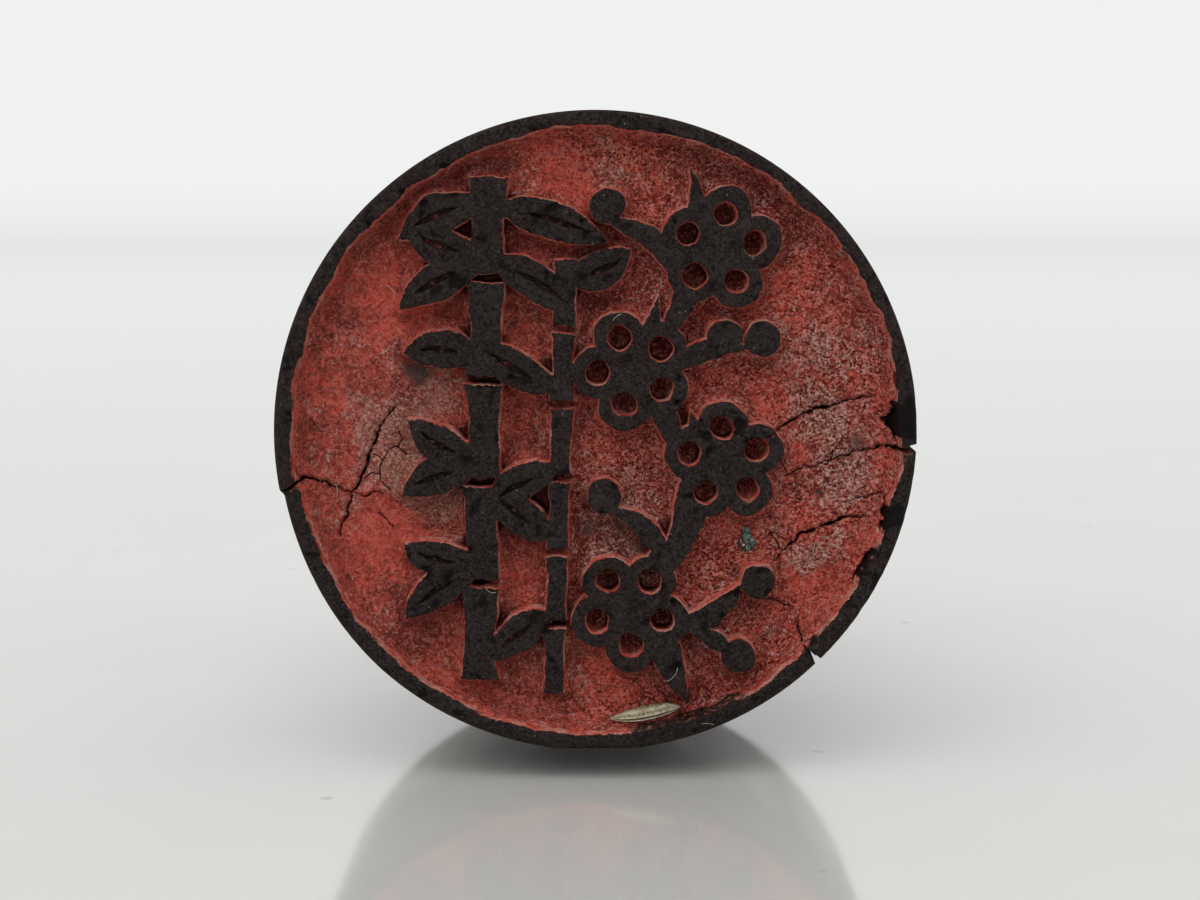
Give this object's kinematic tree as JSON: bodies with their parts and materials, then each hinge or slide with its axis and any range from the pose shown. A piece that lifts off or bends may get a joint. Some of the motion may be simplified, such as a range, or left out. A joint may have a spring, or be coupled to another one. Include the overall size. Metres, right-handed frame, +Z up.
{
  "type": "seal stamp",
  "caption": "Round wooden hand seal with a carved bamboo-and-plum printing face caked in dried red ink paste, and a turned knob grip glued into its back.",
  "frame": {"origin": "centre of the bounding box's footprint, on the surface that the stamp lies on", "axes": "+Z up, +Y along the stamp's axis from the printing face to the grip's knob, +X to the right as the face is seen"},
  "size_m": [0.03, 0.05, 0.0299],
  "materials": {
    "dark_wood": "worn, ink-darkened, matte",
    "red_paste": "dry, caked, cracked",
    "husk": "dry, fibrous",
    "green_crumb": "matte"
  },
  "bodies": {
    "root": {"printing_block": "dark_wood", "grip": "dark_wood", "ink_paste": "red_paste", "ink_pockets": "red_paste", "husk_flake": "husk", "green_fleck": "green_crumb"}
  },
  "joints": []
}
